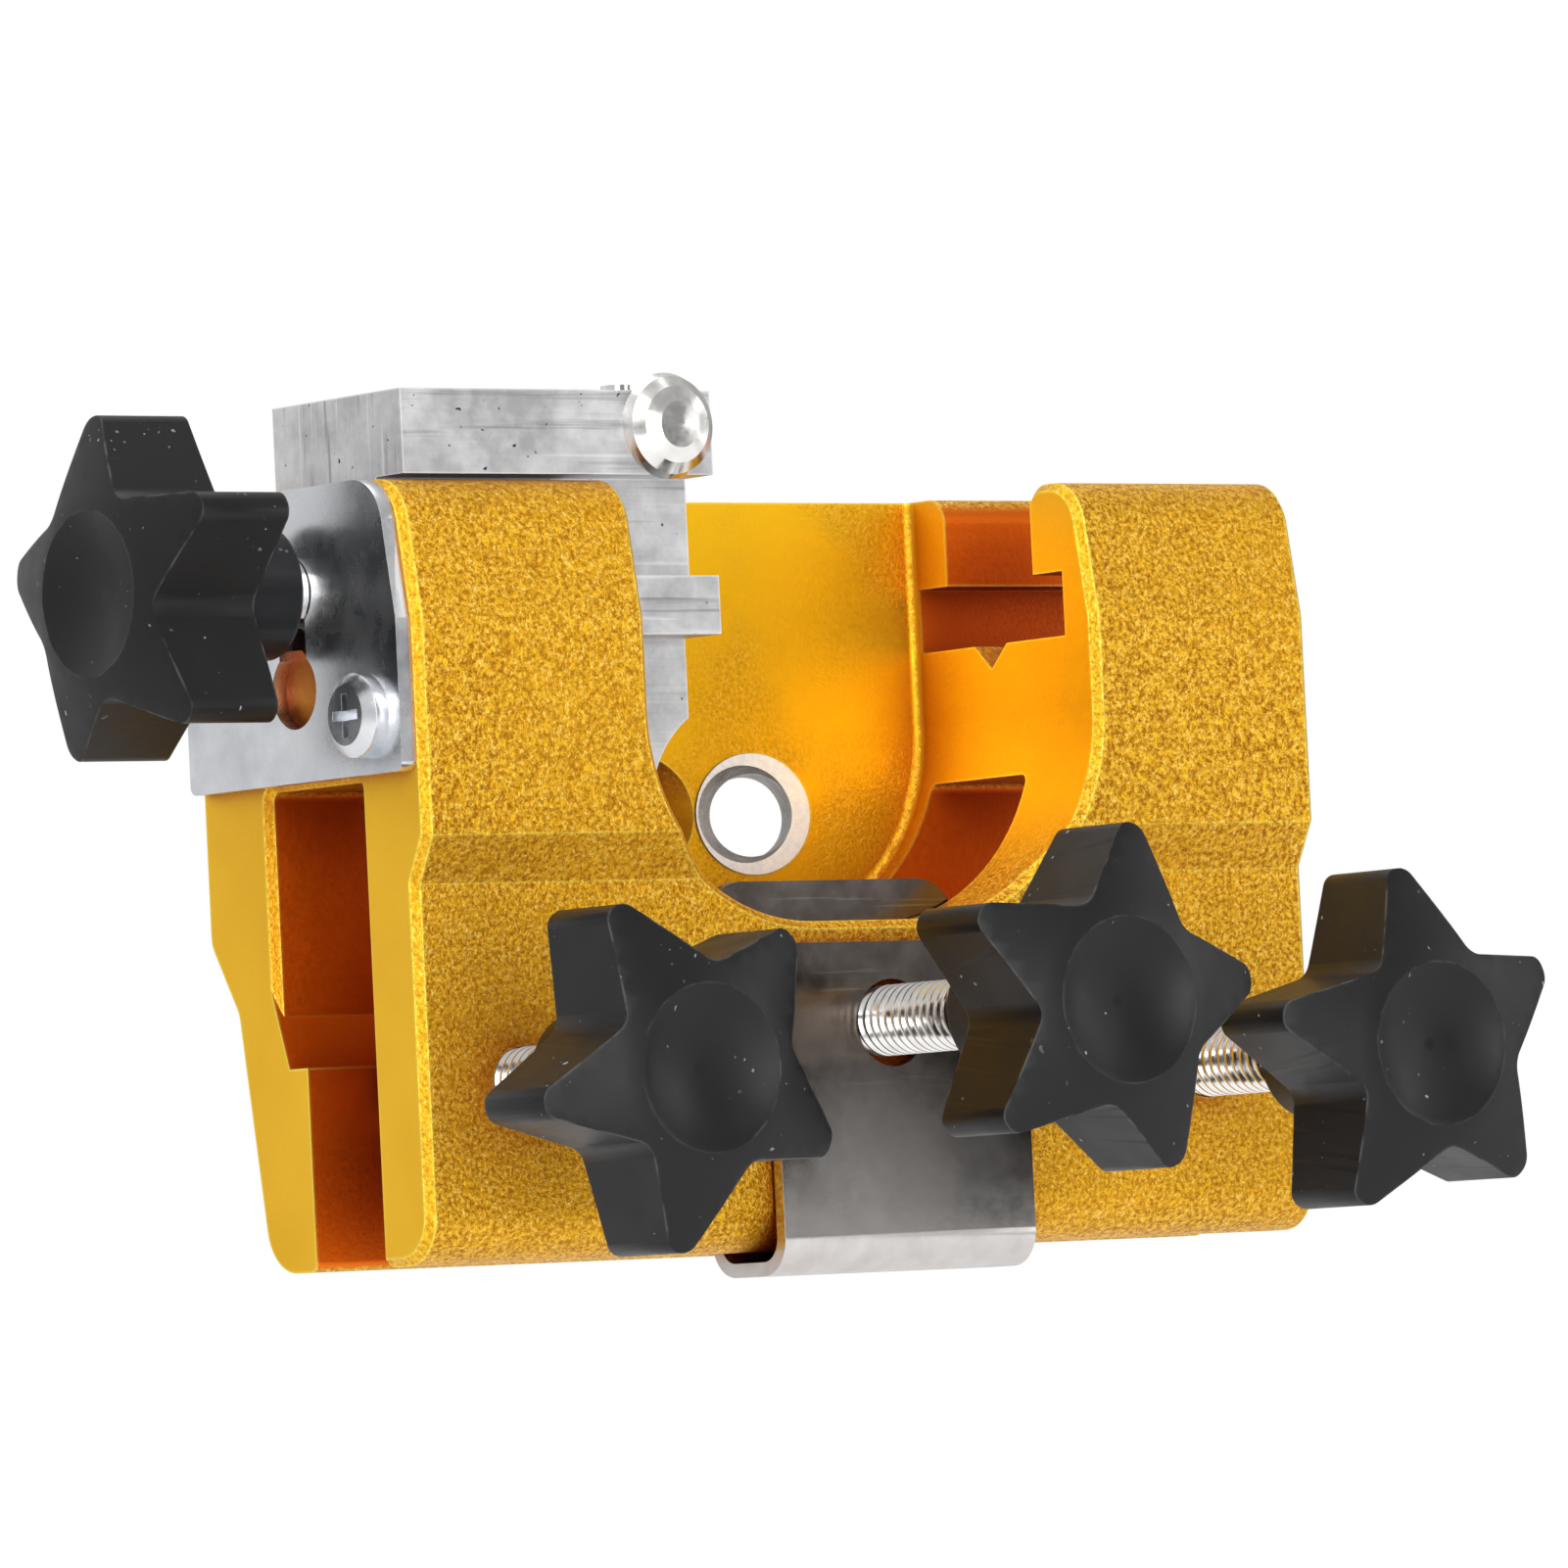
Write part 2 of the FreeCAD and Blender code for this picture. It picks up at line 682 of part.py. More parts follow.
def make_knob(name, base, turn):
    """A five-pointed plastic star knob with a thumb dimple and a round hub."""
    knob = new_body(name, base, turn)
    half = new_sketch(knob, "half", "XZ_Plane")
    draw_knob_half(half)
    turned(knob, half, "Revolution")

    notch = new_sketch(knob, "notch", "XY_Plane")
    draw_star_notch(notch)
    cut = pocket(knob, notch, size.knob_length, backward=True)
    pattern = knob.newObject("PartDesign::PolarPattern", f"{name}_points")
    pattern.Originals = [cut]
    pattern.Axis = (notch, ["N_Axis"])
    pattern.Angle = 360
    pattern.Occurrences = POINTS_OF_STAR
    knob.Tip = pattern
    document.recompute()

    def upright_at(radius):
        def test(edge):
            box = edge.BoundBox
            middle = edge.valueAt((edge.FirstParameter + edge.LastParameter) / 2)
            distance = (middle.x ** 2 + middle.y ** 2) ** 0.5
            return box.ZLength > 5 and near(distance, radius, 0.05)
        return test

    dress(knob, "Fillet", upright_at(measure(size.knob_radius)), size.knob_tip_rounding)

    dimple = new_sketch(knob, "dimple", "XZ_Plane")
    draw_dimple(dimple)
    turned(knob, dimple, "Groove")

    seat = new_sketch(knob, "seat", "XZ_Plane")
    head_seat = size.knob_head_rear - size.screw_head_height
    draw_outline(seat, [
        (0, head_seat - size.running_gap),
        (size.screw_head_diameter / 2 + size.running_gap, head_seat - size.running_gap),
        (size.screw_head_diameter / 2 + size.running_gap, size.knob_head_rear + size.running_gap),
        (size.screw_diameter / 2 + size.running_gap, size.knob_head_rear + size.running_gap),
        (size.screw_diameter / 2 + size.running_gap, size.knob_length),
        (0, size.knob_length),
    ])
    turned(knob, seat, "Groove")
    return knob


def draw_dimple(sketch):
    """Half the lens that is scooped out of the knob's face, arc first."""
    rim = measure(size.knob_dimple_radius)
    deep = measure(size.knob_dimple_depth)
    ball = (rim ** 2 + deep ** 2) / (2 * deep)
    centre = FreeCAD.Vector(0, deep - ball, 0)
    rise = FreeCAD.Vector(rim, 0, 0) - centre
    circle = Part.Circle(centre, UPWARD, ball)
    lift = rise.getAngle(FreeCAD.Vector(1, 0, 0))
    arc = sketch.addGeometry(Part.ArcOfCircle(circle, lift, QUARTER_TURN))
    tops = [FreeCAD.Vector(0, deep, 0), FreeCAD.Vector(0, -1, 0), FreeCAD.Vector(rim, -1, 0)]
    tops.append(FreeCAD.Vector(rim, 0, 0))
    lines = [sketch.addGeometry(Part.LineSegment(tops[i], tops[i + 1])) for i in range(3)]
    sketch.addConstraint(Sketcher.Constraint("Coincident", arc, 2, lines[0], 1))
    sketch.addConstraint(Sketcher.Constraint("Coincident", lines[0], 2, lines[1], 1))
    sketch.addConstraint(Sketcher.Constraint("Coincident", lines[1], 2, lines[2], 1))
    sketch.addConstraint(Sketcher.Constraint("Coincident", lines[2], 2, arc, 1))
    sketch.addConstraint(Sketcher.Constraint("PointOnObject", arc, 3, -2))
    hold(sketch, "DistanceX", arc, 1, size.knob_dimple_radius)
    hold(sketch, "DistanceY", arc, 1, 0)
    hold(sketch, "DistanceX", arc, 2, 0)
    hold(sketch, "DistanceY", arc, 2, size.knob_dimple_depth)
    hold(sketch, "DistanceX", lines[1], 1, 0)
    hold(sketch, "DistanceY", lines[1], 1, -1)
    hold(sketch, "DistanceX", lines[2], 1, size.knob_dimple_radius)
    hold(sketch, "DistanceY", lines[2], 1, -1)


FEED_KNOB_TURN = -7.5
# name, place along X, height, reach of the face, turn of the star about its axis
CLAMPS = [
    ("left", size.left_screw_place, size.outer_screw_height, size.left_knob_reach, -9.75),
    ("middle", size.middle_screw_place, size.middle_screw_height, size.middle_knob_reach, 30),
    ("right", size.right_screw_place, size.outer_screw_height, size.right_knob_reach, 11.25),
]


def make_clamps():
    pieces = []
    for side, place, height, reach, turn in CLAMPS:
        pieces.append(make_clamp_screw(f"clamp_screw_{side}", place, height, reach))
        base = point(place, -reach, height)
        spin = FACING_FRONT.multiply(FreeCAD.Rotation(FreeCAD.Vector(0, 0, 1), turn))
        pieces.append(make_knob(f"clamp_knob_{side}", base, spin))
    return pieces


# ---------------------------------------------------------------- spring clip

def make_spring_clip():
    """Spring steel bent to a U that hooks over the foot of the front leg."""
    clip = new_body("spring_clip")
    outline = new_sketch(clip, "profile", "YZ_Plane", size.clip_start)
    outer_rear = size.front_step - size.clip_gap
    inner_front = size.bar_slot_front + size.clip_gap
    foot = -size.clip_foot_gap
    draw_outline(outline, [
        (outer_rear - size.clip_thickness, size.clip_outer_top),
        (outer_rear - size.clip_thickness, foot - size.clip_thickness),
        (inner_front + size.clip_thickness, foot - size.clip_thickness),
        (inner_front + size.clip_thickness, size.clip_inner_top),
        (inner_front, size.clip_inner_top),
        (inner_front, foot),
        (outer_rear, foot),
        (outer_rear, size.clip_outer_top),
    ])
    pad(clip, outline, size.clip_width)

    def corner_at(top):
        def test(edge):
            box = edge.BoundBox
            across = box.YLength > 1 and box.XLength + box.ZLength < 0.01
            return across and near(box.ZMin, measure(top))
        return test

    dress(clip, "Fillet", along_x_at([
        (outer_rear - size.clip_thickness, foot - size.clip_thickness),
        (inner_front + size.clip_thickness, foot - size.clip_thickness),
    ]), size.clip_bend_outside)
    dress(clip, "Fillet", along_x_at([(outer_rear, foot), (inner_front, foot)]), size.clip_bend_inside)
    dress(clip, "Fillet", corner_at(size.clip_outer_top), size.clip_outer_corner)
    dress(clip, "Fillet", corner_at(size.clip_inner_top), size.clip_inner_corner)
    hole = new_sketch(clip, "hole", "XZ_Plane")
    draw_circle(hole, size.clip_hole_place, size.clip_hole_height, size.clip_hole_diameter / 2)
    pocket(clip, hole, size.bar_slot_front)
    return clip


# ---------------------------------------------------------------- end plate and feed

def make_end_plate():
    """Zinc-plated plate whose keyhole takes the feed screw's neck."""
    plate = new_body("end_plate")
    outline = new_sketch(plate, "outline", "YZ_Plane", -size.plate_thickness)
    draw_outline(outline, [
        (size.plate_inset, size.plate_foot),
        (size.body_depth, size.plate_foot),
        (size.body_depth, size.taper_start),
        (size.body_depth - size.taper_inset, size.body_height),
        (size.plate_inset + size.taper_inset, size.body_height),
        (size.plate_inset, size.taper_start),
    ])
    pad(plate, outline, size.plate_thickness)
    dress(plate, "Fillet", along_x_at([
        (size.body_depth - size.taper_inset, size.body_height),
        (size.plate_inset + size.taper_inset, size.body_height),
    ]), size.corner_radius)
    dress(plate, "Fillet", along_x_at([
        (size.plate_inset, size.plate_foot), (size.body_depth, size.plate_foot),
    ]), size.mouth_radius)
    entry = new_sketch(plate, "keyhole_entry", "YZ_Plane")
    draw_circle(entry, size.slide_axis + size.feed_offset, size.keyhole_foot, size.keyhole_radius)
    pocket(plate, entry, 2 * size.plate_thickness)
    neck = new_sketch(plate, "keyhole_neck", "YZ_Plane")
    draw_slot_end(neck)
    pocket(plate, neck, 2 * size.plate_thickness)
    holes = new_sketch(plate, "screw_holes", "YZ_Plane")
    for _, depth, height in PLATE_SCREW_PLACES:
        draw_circle(holes, depth, height, size.plate_screw_diameter / 2 + size.plate_hole_gap)
    pocket(plate, holes, 2 * size.plate_thickness)
    return plate


def draw_slot_end(sketch):
    """The keyhole's narrow arm: straight sides under a round end at the feed axis."""
    axis = measure(size.slide_axis + size.feed_offset)
    half = measure(size.feed_neck / 2 + size.running_gap)
    low = measure(size.keyhole_foot)
    high = measure(size.feed_height)
    corners = [
        FreeCAD.Vector(axis - half, high, 0), FreeCAD.Vector(axis - half, low, 0),
        FreeCAD.Vector(axis + half, low, 0), FreeCAD.Vector(axis + half, high, 0),
    ]
    circle = Part.Circle(FreeCAD.Vector(axis, high, 0), UPWARD, half)
    sketch.addGeometry(Part.LineSegment(corners[0], corners[1]))
    sketch.addGeometry(Part.LineSegment(corners[1], corners[2]))
    sketch.addGeometry(Part.LineSegment(corners[2], corners[3]))
    sketch.addGeometry(Part.ArcOfCircle(circle, 0, 2 * QUARTER_TURN))
    sketch.addConstraint(Sketcher.Constraint("Coincident", 0, 2, 1, 1))
    sketch.addConstraint(Sketcher.Constraint("Coincident", 1, 2, 2, 1))
    sketch.addConstraint(Sketcher.Constraint("Tangent", 2, 2, 3, 1))
    sketch.addConstraint(Sketcher.Constraint("Tangent", 3, 2, 0, 1))
    sketch.addConstraint(Sketcher.Constraint("Vertical", 0))
    sketch.addConstraint(Sketcher.Constraint("Horizontal", 1))
    hold(sketch, "DistanceX", 3, 3, size.slide_axis + size.feed_offset)
    hold(sketch, "DistanceY", 3, 3, size.feed_height)
    hold(sketch, "DistanceY", 1, 1, size.keyhole_foot)
    index = sketch.addConstraint(Sketcher.Constraint("Radius", 3, half))
    bind(sketch, f"Constraints[{index}]", size.feed_neck / 2 + size.running_gap)


def make_plate_screw(side, depth, height):
    """A pan head machine screw; Z runs from the head's crown into the body."""
    crown = size.plate_thickness + size.plate_screw_head_height
    base = point(-crown, depth, height)
    screw = new_body(f"plate_screw_{side}", base, FACING_LEFT)
    half = new_sketch(screw, "half", "XZ_Plane")
    tip = crown + size.plate_screw_length - size.plate_tip_gap
    draw_outline(half, [
        (0, 0),
        (size.plate_screw_crown / 2, 0),
        (size.plate_screw_head / 2, size.plate_screw_shoulder),
        (size.plate_screw_head / 2, size.plate_screw_head_height),
        (size.plate_screw_diameter / 2, size.plate_screw_head_height),
        (size.plate_screw_diameter / 2, tip - size.plate_screw_tip),
        (size.plate_screw_diameter / 2 - size.plate_screw_tip, tip),
        (0, tip),
    ])
    turned(screw, half, "Revolution")
    arms = (size.recess_length, size.recess_width), (size.recess_width, size.recess_length)
    for arm, (wide, tall) in enumerate(arms):
        slot = new_sketch(screw, f"recess_{arm}", "XY_Plane")
        draw_outline(slot, [
            (-wide / 2, -tall / 2), (wide / 2, -tall / 2),
            (wide / 2, tall / 2), (-wide / 2, tall / 2),
        ])
        pocket(screw, slot, size.recess_depth, backward=True)
    return screw


def make_feed_screw():
    """The feed screw: head in the knob, a neck for the keyhole, then the thread."""
    base = point(-size.feed_knob_reach, size.slide_axis + size.feed_offset, size.feed_height)
    screw = new_body("feed_screw", base, FACING_LEFT)
    half = new_sketch(screw, "half", "XZ_Plane")
    head_seat = size.knob_head_rear - size.screw_head_height
    neck_start = size.feed_knob_reach - size.plate_thickness - 0.1
    neck_end = size.feed_knob_reach + 0.1
    tip = size.feed_knob_reach + size.feed_reach
    draw_outline(half, [
        (0, head_seat),
        (size.screw_head_diameter / 2, head_seat),
        (size.screw_head_diameter / 2, head_seat + size.screw_head_height),
        (size.screw_diameter / 2, head_seat + size.screw_head_height),
        (size.screw_diameter / 2, neck_start),
        (size.feed_neck / 2, neck_start),
        (size.feed_neck / 2, neck_end),
        (size.screw_diameter / 2, neck_end),
        (size.screw_diameter / 2, tip - size.thread_depth),
        (size.screw_diameter / 2 - size.thread_depth, tip),
        (0, tip),
    ])
    turned(screw, half, "Revolution")
    cut_thread(screw, size.screw_diameter / 2, size.feed_knob_reach + 2, size.feed_reach)
    return screw


def make_feed_knob():
    base = point(-size.feed_knob_reach, size.slide_axis + size.feed_offset, size.feed_height)
    spin = FACING_LEFT.multiply(FreeCAD.Rotation(FreeCAD.Vector(0, 0, 1), FEED_KNOB_TURN))
    return make_knob("feed_knob", base, spin)


# ---------------------------------------------------------------- stop slide

def make_stop_slide():
    """A sawn length of extrusion: block above, neck, tee in the slot, blade below."""
    slide = new_body("stop_slide")
    profile = new_sketch(slide, "profile", "YZ_Plane", size.slide_start)
    block_foot = size.body_height + size.block_lift
    tee_top = size.tee_roof - size.slide_gap
    tee_foot = size.tee_floor + size.slide_gap
    half_tee = size.tee_width / 2 - size.slide_gap
    draw_outline(profile, [
        (size.slide_axis - size.block_width / 2, block_foot + size.block_height),
        (size.slide_axis - size.block_width / 2, block_foot),
        (size.slide_axis - size.slide_neck / 2, block_foot),
        (size.slide_axis - size.slide_neck / 2, tee_top),
        (size.slide_axis - half_tee, tee_top),
        (size.slide_axis - half_tee, tee_foot),
        (size.blade_front, tee_foot),
        (size.blade_front, size.blade_foot),
        (size.blade_rear, size.blade_foot),
        (size.blade_rear, tee_foot),
        (size.slide_axis + half_tee, tee_foot),
        (size.slide_axis + half_tee, tee_top),
        (size.slide_axis + size.slide_neck / 2, tee_top),
        (size.slide_axis + size.slide_neck / 2, block_foot),
        (size.slide_axis + size.block_width / 2, block_foot),
        (size.slide_axis + size.block_width / 2, block_foot + size.block_height),
    ])
    pad(slide, profile, size.slide_length)
    relief = new_sketch(slide, "blade_relief", "XZ_Plane")
    draw_outline(relief, [
        (size.slide_start - 1, size.blade_foot - 1),
        (size.blade_start, size.blade_foot - 1),
        (size.blade_start, tee_foot),
        (size.slide_start - 1, tee_foot),
    ])
    pocket(slide, relief, size.body_depth)
    notch = new_sketch(slide, "blade_notch", "XZ_Plane")
    draw_circle(notch, size.blade_notch_place, size.blade_notch_height, size.blade_notch_radius)
    pocket(slide, notch, size.body_depth)
    bore = new_sketch(slide, "feed_bore", "YZ_Plane")
    bore_radius = size.screw_diameter / 2 + size.running_gap
    draw_circle(bore, size.slide_axis + size.feed_offset, size.feed_height, bore_radius)
    pocket(slide, bore, size.body_length, backward=True)
    pin_hole = new_sketch(slide, "stop_pin_hole", "XZ_Plane")
    draw_circle(pin_hole, size.stop_pin_place, size.stop_pin_height, size.stop_pin_shank / 2)
    pocket(slide, pin_hole, size.slide_axis - size.block_width / 2 + size.stop_pin_length)
    latch_hole = new_sketch(slide, "latch_pin_hole", "XY_Plane", block_foot + size.block_height)
    draw_circle(latch_hole, size.latch_pin_place, size.slide_axis, size.latch_pin_diameter / 2)
    pocket(slide, latch_hole, size.latch_pin_length)
    return slide


def make_stop_pin():
    """A domed pin driven in the block's front face."""
    base = point(size.stop_pin_place, size.slide_axis - size.block_width / 2, size.stop_pin_height)
    pin = new_body("stop_pin", base, FACING_FRONT)
    half = new_sketch(pin, "half", "XZ_Plane")
    draw_outline(half, [
        (0, -size.stop_pin_dome),
        (size.stop_pin_head * 0.22, -size.stop_pin_dome * 0.93),
        (size.stop_pin_head * 0.36, -size.stop_pin_dome * 0.72),
        (size.stop_pin_head * 0.46, -size.stop_pin_dome * 0.4),
        (size.stop_pin_head / 2, 0),
        (size.stop_pin_shank / 2, 0),
        (size.stop_pin_shank / 2, size.stop_pin_length),
        (0, size.stop_pin_length),
    ])
    turned(pin, half, "Revolution")
    return pin


def make_latch_pin():
    """A small round pin set in the top of the block."""
    block_top = size.body_height + size.block_lift + size.block_height
    base = point(size.latch_pin_place, size.slide_axis, block_top - size.latch_pin_length)
    pin = new_body("latch_pin", base)
    circle = new_sketch(pin, "shank", "XY_Plane")
    draw_circle(circle, 0, 0, size.latch_pin_diameter / 2)
    pad(pin, circle, size.latch_pin_length + size.latch_pin_proud)
    return pin


# ---------------------------------------------------------------- build and write

def check(pieces):
    """Stop when any object failed or any sub-part has no valid solid."""
    document.recompute()
    for item in document.Objects:
        if "Invalid" in item.State or "Error" in item.State:
            raise RuntimeError(f"{item.Name} failed: {item.State}")
    for piece in pieces:
        if piece.Shape.isNull() or not piece.Shape.isValid():
            raise RuntimeError(f"{piece.Label} has no valid shape")
        if not piece.Shape.Solids:
            raise RuntimeError(f"{piece.Label} has no solid")


def main():
    pieces = [make_jig_body(), make_guide_sleeve()]
    pieces += make_clamps()
    pieces += [make_spring_clip(), make_end_plate()]
    pieces += [make_plate_screw(*place) for place in PLATE_SCREW_PLACES]
    pieces += [make_feed_screw(), make_feed_knob()]
    pieces += [make_stop_slide(), make_stop_pin(), make_latch_pin()]
    check(pieces)
    os.makedirs("parts", exist_ok=True)
    for piece in pieces:
        piece.Shape.exportStep(f"parts/{piece.Label}.step")
        print(f"{piece.Label}: {len(piece.Shape.Solids)} solid, {piece.Shape.Volume:.0f} mm3")


main()
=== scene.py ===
# %% [markdown]
# # A sharpening jig for saw chain
# The CAD model is already exact. This script gives each piece its finish: sandy gold
# anodising, sawn aluminium, zinc, nickel, spring steel and black plastic. Then it adds
# the small marks that machining and handling leave, and sets the light and the camera.

# %% Load the frame
import json
import math

import bmesh
import bpy
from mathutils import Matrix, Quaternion, Vector


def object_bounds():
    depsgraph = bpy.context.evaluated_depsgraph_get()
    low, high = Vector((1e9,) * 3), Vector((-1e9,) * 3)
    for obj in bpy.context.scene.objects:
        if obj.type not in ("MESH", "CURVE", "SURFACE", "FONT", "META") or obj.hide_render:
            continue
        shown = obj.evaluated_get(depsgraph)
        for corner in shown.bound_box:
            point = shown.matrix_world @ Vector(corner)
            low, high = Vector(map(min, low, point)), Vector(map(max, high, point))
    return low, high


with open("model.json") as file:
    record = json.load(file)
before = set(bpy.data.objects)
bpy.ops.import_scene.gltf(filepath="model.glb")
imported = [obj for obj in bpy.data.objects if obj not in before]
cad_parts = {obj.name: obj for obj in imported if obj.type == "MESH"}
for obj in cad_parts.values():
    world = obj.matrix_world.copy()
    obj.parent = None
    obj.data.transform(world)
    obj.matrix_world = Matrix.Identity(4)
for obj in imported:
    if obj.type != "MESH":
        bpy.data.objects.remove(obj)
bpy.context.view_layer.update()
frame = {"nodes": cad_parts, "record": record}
nodes = frame["nodes"]
MM = 0.001

# %% [markdown]
# Every finish below is a small tree of shader nodes. A tree is made of the same few
# steps again and again, so the first helpers make an empty material and add one node
# with its sockets filled. A socket takes either a number or another node's output.

# %% Make a material and add nodes


def new_material(name):
    """An empty node material, its tree and its main shader."""
    material = bpy.data.materials.new(name)
    material.use_nodes = True
    tree = material.node_tree
    return material, tree, tree.nodes["Principled BSDF"]


def add(tree, kind, settings=None, **inputs):
    """A shader node; sockets are named as inputs, with underscores for spaces."""
    item = tree.nodes.new("ShaderNode" + kind)
    for name, value in (settings or {}).items():
        setattr(item, name, value)
    for name, value in inputs.items():
        fill(tree, item.inputs[name.replace("_", " ")], value)
    return item


def fill(tree, socket, value):
    """Link another node's output to a socket, or set the socket to a constant."""
    if isinstance(value, bpy.types.NodeSocket):
        tree.links.new(value, socket)
    else:
        socket.default_value = value


def finish_shader(tree, shader, colour, metallic, roughness, normal):
    """Fill the four sockets of the main shader that every metal finish uses."""
    fill(tree, shader.inputs["Base Color"], colour)
    fill(tree, shader.inputs["Metallic"], metallic)
    fill(tree, shader.inputs["Roughness"], roughness)
    fill(tree, shader.inputs["Normal"], normal)


print("helpers ready: new_material, add, fill, finish_shader")

# %% [markdown]
# A finish is rarely one colour. These helpers blend two colours by a factor, stretch a
# range of values so that a soft noise becomes a clear mark, and do plain sums.

# %% Mix and stretch


def mix_colour(tree, factor, first, second):
    item = add(tree, "Mix", {"data_type": "RGBA"})
    for index, value in ((0, factor), (6, first), (7, second)):
        fill(tree, item.inputs[index], value)
    return item.outputs[2]


def stretch(tree, value, low, high, to_low=0.0, to_high=1.0):
    """Map low..high to to_low..to_high, and clamp."""
    item = add(tree, "MapRange", None, Value=value, From_Min=low, From_Max=high,
               To_Min=to_low, To_Max=to_high)
    return item.outputs[0]


def calculate(tree, operation, first, second=0.0):
    item = add(tree, "Math", {"operation": operation})
    fill(tree, item.inputs[0], first)
    fill(tree, item.inputs[1], second)
    return item.outputs[0]


print("helpers ready: mix_colour, stretch, calculate")

# %% [markdown]
# Grain, stains and scratches come from noise. Squeezing the noise along one axis turns
# its blobs into lines, as rolling, drawing or sawing does to a real surface. A bump
# then tilts the light by the same noise, so the marks are felt as well as seen.

# %% Noise and bump


def places(tree, scale=(1, 1, 1), turn=(0, 0, 0)):
    """Object coordinates in metres, stretched and turned."""
    coordinates = add(tree, "TexCoord").outputs["Object"]
    return add(tree, "Mapping", None, Vector=coordinates, Scale=scale, Rotation=turn).outputs[0]


def noise(tree, scale, detail=2.0, roughness=0.5, stretched=(1, 1, 1), turn=(0, 0, 0)):
    vector = places(tree, stretched, turn)
    return add(tree, "TexNoise", None, Vector=vector, Scale=scale, Detail=detail,
               Roughness=roughness).outputs[0]


def bump(tree, height, strength, depth, below=None):
    item = add(tree, "Bump", None, Strength=strength, Distance=depth, Height=height)
    if below is not None:
        tree.links.new(below, item.inputs["Normal"])
    return item.outputs[0]


def ridges(tree, value, width):
    """Thin winding lines where a noise crosses its middle value."""
    off_middle = calculate(tree, "ABSOLUTE", calculate(tree, "SUBTRACT", value, 0.5))
    return stretch(tree, off_middle, 0.0, width, 1.0, 0.0)


print("helpers ready: places, noise, bump, ridges")

# %% [markdown]
# Wear and painted light depend on the shape. Edges are rubbed first or painted with a
# highlight, narrow slots are painted dark as shade, and a sawn end differs from a drawn
# side. These helpers find such places: the edge helper compares the true normal with a
# rounded one, which differ only beside an edge.

# %% Find edges, slots and faces


def edge_factor(tree, radius, gain=3.0):
    """1 beside a sharp edge, 0 on the open faces."""
    rounded = add(tree, "Bevel", {"samples": 4}, Radius=radius).outputs[0]
    plain = add(tree, "NewGeometry").outputs["Normal"]
    agree = add(tree, "VectorMath", {"operation": "DOT_PRODUCT"})
    tree.links.new(rounded, agree.inputs[0])
    tree.links.new(plain, agree.inputs[1])
    differ = calculate(tree, "SUBTRACT", 1.0, agree.outputs["Value"])
    return stretch(tree, calculate(tree, "MULTIPLY", differ, gain), 0.02, 0.5)


def openness(tree, reach):
    """1 on open faces, falling to 0 in slots and holes narrower than the reach."""
    return add(tree, "AmbientOcclusion", {"samples": 6}, Distance=reach).outputs["AO"]


def face_factor(tree, axis):
    """1 where a face looks along the axis, 0 where it is square to it."""
    normal = add(tree, "NewGeometry").outputs["Normal"]
    parts = add(tree, "SeparateXYZ", None, Vector=normal)
    return stretch(tree, calculate(tree, "ABSOLUTE", parts.outputs[axis]), 0.6, 0.9)


def along(tree, axis, low, high):
    """0 below low and 1 above high, both in metres along an axis of the frame."""
    coordinates = add(tree, "TexCoord").outputs["Object"]
    parts = add(tree, "SeparateXYZ", None, Vector=coordinates)
    return stretch(tree, parts.outputs[axis], low, high)


def front_factor(tree):
    """1 on faces that look to the front, along -Y."""
    normal = add(tree, "NewGeometry").outputs["Normal"]
    parts = add(tree, "SeparateXYZ", None, Vector=normal)
    return stretch(tree, parts.outputs["Y"], -0.6, -0.9)


print("helpers ready: edge_factor, openness, face_factor, along, front_factor")

# %% [markdown]
# Gold anodising shows the surface below it. The outside could have been blasted before
# it was dyed, so it is sandy, with short winding glints that are painted highlights, and
# faint draw lines along X. The sawn ends and the milled wall are smoother, and a painted
# highlight follows each cut edge. The walls of the slots are smooth too. They are painted
# dark red as shade, in place of the light that bounces between them several times and
# takes more colour from each, and the narrowest places are painted darker still.

# %% Gold anodising: its colours
# Some of these colours paint light: a glint, an edge highlight, and a red and a deep shade for the slots.
HOLLOW_SAND = (0.32, 0.105, 0.001, 1)
RAISED_SAND = (1.0, 0.56, 0.022, 1)
CLOUDY_SAND = (0.78, 0.38, 0.006, 1)
PAINTED_GLINT = (1.0, 0.80, 0.26, 1)
MILLED_GOLD = (0.98, 0.56, 0.008, 1)
SAWN_GOLD_DARK = (0.84, 0.46, 0.012, 1)
SAWN_GOLD_LIGHT = (0.94, 0.55, 0.022, 1)
SLOT_SHADE_RED = (0.78, 0.150, 0.002, 1)
PAINTED_CAVITY_SHADE = (0.34, 0.035, 0.001, 1)
PAINTED_EDGE_HIGHLIGHT = (1.0, 0.86, 0.13, 1)
MILLED_WALL = (10.4 * MM, 10.9 * MM)
SLOTS_FRONT = (-10.2 * MM, -9.8 * MM)
SLOTS_REAR = (10.8 * MM, 10.4 * MM)


def gold_regions(tree, cloud):
    """How far a place is a sawn end, the milled wall or a slot's wall, each 0 to 1."""
    sawn = face_factor(tree, "X")
    milled = calculate(tree, "MULTIPLY", front_factor(tree), along(tree, "Y", *MILLED_WALL))
    milled = calculate(tree, "MULTIPLY", milled, stretch(tree, cloud, 0.42, 0.54, 0.55, 1.0))
    slot_wall = calculate(tree, "MULTIPLY", along(tree, "Y", *SLOTS_FRONT), along(tree, "Y", *SLOTS_REAR))
    slot_wall = calculate(tree, "MULTIPLY", slot_wall, face_factor(tree, "Y"))
    return sawn, milled, slot_wall


